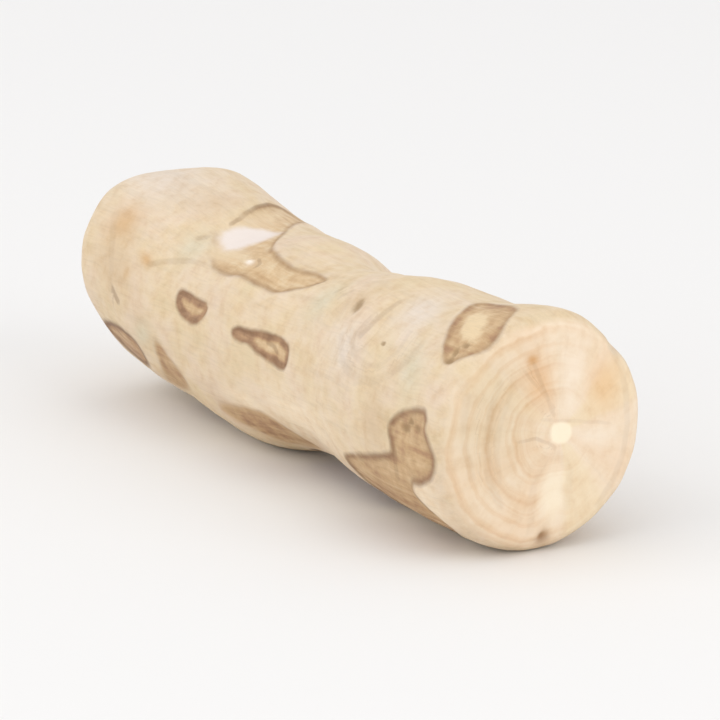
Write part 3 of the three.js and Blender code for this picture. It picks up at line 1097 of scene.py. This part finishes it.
for blend, colour, share in (
    (WASH, mottle_shade, 0.5),
    (WASH, ring_shade, ring_share),
    (WASH, ray_shade, 0.6),
    (WASH, "#f1efe6", mark["face_yellow"]),
    (WASH, "#fae9d4", mark["face_blush"]),
    (COVER, "#fbeedb", pale_share),
    (COVER, "#fdf0d6", trace_share),
    (COVER, "#fff2d6", pith_share),
    (COVER, "#d3a26c", mark["face_knot"]),
):
    end_colour = add_node("Mix", {SHARE: share, UNDER: end_colour, OVER: colour}, blend, result=MIXED)
inputs = {SHARE: mark["end_grain"], UNDER: side_colour, OVER: end_colour}
wood_colour = add_node("Mix", inputs, COVER, result=MIXED)
print(f"The colour of the bare wood takes {len(tree.nodes)} nodes")

# %% [markdown]
# ### The bark patches
#
# Inner bark is tan, and darkest where its cut edge shows as a line round the patch. The stored
# depth is read three times: as the fill, as the band of darker bark inside the edge, and as the
# edge line itself. Noise is added to the depth first, so that the lines wander. A few patches have
# a pale heart, and where the tumbling rubbed hardest the bark and its edge are bleached away.

# %% Colour the bark of the patches
EDGE_NOISE = 0.5
BAND_SOFT = 0.6

centred_noise = add_node("Math", (cloud["ragged"], 0.5), DIFFERENCE)
patch_mm = add_node("Math", (centred_noise, EDGE_NOISE, mark["patch_depth"]), SUM)
past_band = add_node("Math", (patch_mm, mark["patch_band"]), DIFFERENCE)
fill_tone = add_node(
    "MapRange", (past_band, -BAND_SOFT, BAND_SOFT, mark["patch_edge_tone"], mark["patch_tone"]), SMOOTH
)
streaked_tone = add_node("Math", (cloud["streaks"], -0.9, fill_tone), SUM)
mottled_tone = add_node("Math", (cloud["mottle"], 0.9, streaked_tone), SUM)
bark_colour = add_node("ValToRGB", (mottled_tone,), stops=(
    (0.0, "#e6d1ad"), (0.3, "#d8ba90"), (0.55, "#c7a57a"), (0.75, "#b68f6a"), (1.0, "#967253"),
))
ragged_heart = add_node("Math", (centred_noise, 0.6, mark["pale_heart"]), SUM)
heart_share = add_node("MapRange", (ragged_heart, 0.2, 0.7, 0.0, 0.85), SMOOTH)
for blend, colour, share in ((COVER, "#ebd3aa", heart_share), (WASH, fibre_shade, 0.6)):
    bark_colour = add_node("Mix", {SHARE: share, UNDER: bark_colour, OVER: colour}, blend, result=MIXED)
print(f"The bark brings the material to {len(tree.nodes)} nodes")

# %% Find where the bark and its edge lines show
DEPTH_SHOWN = 3.0


def ramp_place(depth):
    """Where a depth in millimetres lies on the ramp of the edge lines."""
    return (depth + 1) / DEPTH_SHOWN


not_bleached = add_node("Math", (1.0, mark["bleached"]), {"operation": "SUBTRACT", "use_clamp": True})
edge_mm = add_node("Math", (patch_mm, mark["patch_soft"]), {"operation": "DIVIDE"})
inside = add_node("MapRange", (edge_mm, -0.3, 0.3), SMOOTH)
patch_share = add_node("Math", (inside, not_bleached), PRODUCT)
ramp_depth = add_node("MapRange", (edge_mm, -1.0, DEPTH_SHOWN - 1))
edge_lines = add_node("ValToRGB", (ramp_depth,), stops=(
    (ramp_place(-0.6), 0.0), (ramp_place(-0.1), 0.72), (ramp_place(0.3), 0.72),
    (ramp_place(0.95), 0.14), (ramp_place(1.95), 0.0),
))
line_breaks = add_node("MapRange", (cloud["breaks"], 0.3, 0.56, 0.5, 1.0), SMOOTH)
edge_share = edge_lines
for strength in (mark["patch_line"], line_breaks, not_bleached):
    edge_share = add_node("Math", (edge_share, strength), PRODUCT)
print(f"The edge lines bring the material to {len(tree.nodes)} nodes")

# %% [markdown]
# ### Lines, knots, scars, the rubbed spot and its painted highlight
#
# A line fades and swells as its darkness is multiplied by a slow noise. A knot is the end grain of
# a twig: a small brown eye, never quite round, so its distance is roughened by noise before it is
# coloured. The lowest nick is painted darker, as shade in its hollow, and the near-white of the
# scar is partly a painted highlight on its bump. The rubbed spot is smooth, and its colour is a
# painted highlight: the palest thing on the stick, nearly white, with an uneven edge. It covers
# everything else, so it is laid last.

# %% Lay the marks over the wood, one by one
line_away = add_node("Math", (mark["line_distance"],), {"operation": "ABSOLUTE"})
line_share = add_node("MapRange", (line_away, 1.4, 0.5), SMOOTH)
for strength in (mark["line_dark"], line_breaks):
    line_share = add_node("Math", (line_share, strength), PRODUCT)
ragged_knot = add_node("Math", (cloud["wobble"], 1.4, mark["knot_distance"]), SUM)
knot_share = add_node("MapRange", (ragged_knot, 1.0, 2.1, 0.75, 0.0), SMOOTH)
ragged_shine = add_node("Math", (centred_noise, 0.5, mark["shine"]), SUM)
shine_share = add_node("MapRange", (ragged_shine, 0.0, 1.0, 0.0, 0.9), SMOOTH)
for colour, share in (
    # the lowest nick: painted shade in its hollow
    ("#9c7550", mark["nick"]),
    (bark_colour, patch_share),
    ("#7d5a3b", edge_share),
    ("#7d5a3b", line_share),
    ("#95774f", knot_share),
    # the scar's near-white is partly a painted highlight
    ("#fdf3e6", mark["scar"]),
    # the rubbed spot's colour is a painted highlight
    ("#ece1da", shine_share),
):
    wood_colour = add_node("Mix", {SHARE: share, UNDER: wood_colour, OVER: colour}, COVER, result=MIXED)
print(f"The colour of the wood takes {len(tree.nodes)} nodes")

# %% [markdown]
# ### Gloss and touch
#
# Dull wood has a roughness a little above a half, and the rubbed spot is much smoother. The bump
# is kept shallow, since everything deeper than a tenth of a millimetre is carved: fibres stand a
# hair above the soft wood between them, layer lines show faintly, and the edge of each patch is a
# crisp little step.

# %% Finish the wood material
ROUGHNESS = 0.58
ROUGHNESS_SPREAD = 0.08
SHINE_ROUGHNESS = 0.36
WOOD_IOR = 1.5
BUMP_HEIGHT = 0.08 * MM
STEP_HEIGHT = -1.6

rough = add_node(
    "MapRange",
    (cloud["streaks"], 0.3, 0.7, ROUGHNESS + ROUGHNESS_SPREAD, ROUGHNESS - ROUGHNESS_SPREAD),
    SMOOTH,
)
rough_shone = add_node("MapRange", (shine_share, 0.0, 1.0, rough, SHINE_ROUGHNESS))
grain_height = add_node("Math", (layer_lines, 0.6, cloud["fibres"]), SUM)
height = add_node("Math", (patch_share, STEP_HEIGHT, grain_height), SUM)
bump = add_node("Bump", {"Strength": 0.6, "Distance": BUMP_HEIGHT, "Height": height})
inputs = {"Base Color": wood_colour, "Roughness": rough_shone, "IOR": WOOD_IOR, "Normal": bump}
shader = add_node("BsdfPrincipled", inputs)
add_node("OutputMaterial", {"Surface": shader})
wood.data.materials.clear()
wood.data.materials.append(wood_material)
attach(wood, "root")
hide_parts("stick")
print(f"The wood material has {len(tree.nodes)} nodes")

# %% [markdown]
# ## The studio
#
# The stick lies on a seamless pale floor in a bright studio. The light is soft from all sides, with
# a large lamp up on the right, so the shadow is faint, falls to the left, and is dark only where
# the wood meets the floor. A pale world gives the all-round light and an area lamp the direction.

# %% Lay the floor and hang the lights
FLOOR_SIZE = 8.0
WORLD_STRENGTH = 0.82
SOFTBOXES = {
    "overhead_softbox": {"right": -0.2, "nearer": 0.1, "up": 1.0, "distance": 2.4, "size": 3.0, "power": 12.0},
    "key_softbox": {"right": 0.7, "nearer": 0.6, "up": 0.3, "distance": 1.8, "size": 1.2, "power": 6.5},
    "fill_softbox": {"right": -0.9, "nearer": 0.3, "up": 0.45, "distance": 1.8, "size": 1.6, "power": 6.8},
}

bpy.ops.mesh.primitive_plane_add(size=FLOOR_SIZE, location=(0, 0, 0))
floor = bpy.context.object
floor.name = "studio_floor"
floor_material = bpy.data.materials.new("seamless paper")
floor_material.use_nodes = True
floor_shader = floor_material.node_tree.nodes["Principled BSDF"]
floor_shader.inputs["Base Color"].default_value = linear("#eeedeb")
floor_shader.inputs["Roughness"].default_value = 0.9
floor.data.materials.append(floor_material)

world = bpy.data.worlds.new("studio")
world.use_nodes = True
background = world.node_tree.nodes["Background"]
background.inputs["Color"].default_value = linear("#fdfdff")
background.inputs["Strength"].default_value = WORLD_STRENGTH
bpy.context.scene.world = world

for name, box in SOFTBOXES.items():
    light_from = box["right"] * picture_right + box["nearer"] * towards_camera + Vector((0, 0, box["up"]))
    light_from.normalize()
    bpy.ops.object.light_add(type="AREA", location=aim + box["distance"] * light_from)
    softbox = bpy.context.object
    softbox.name = name
    softbox.data.energy = box["power"]
    softbox.data.size = box["size"]
    softbox.rotation_euler = light_from.to_track_quat("Z", "Y").to_euler()

bpy.context.scene.view_settings.view_transform = "Standard"
print(f"{len(SOFTBOXES)} softboxes light the stick")
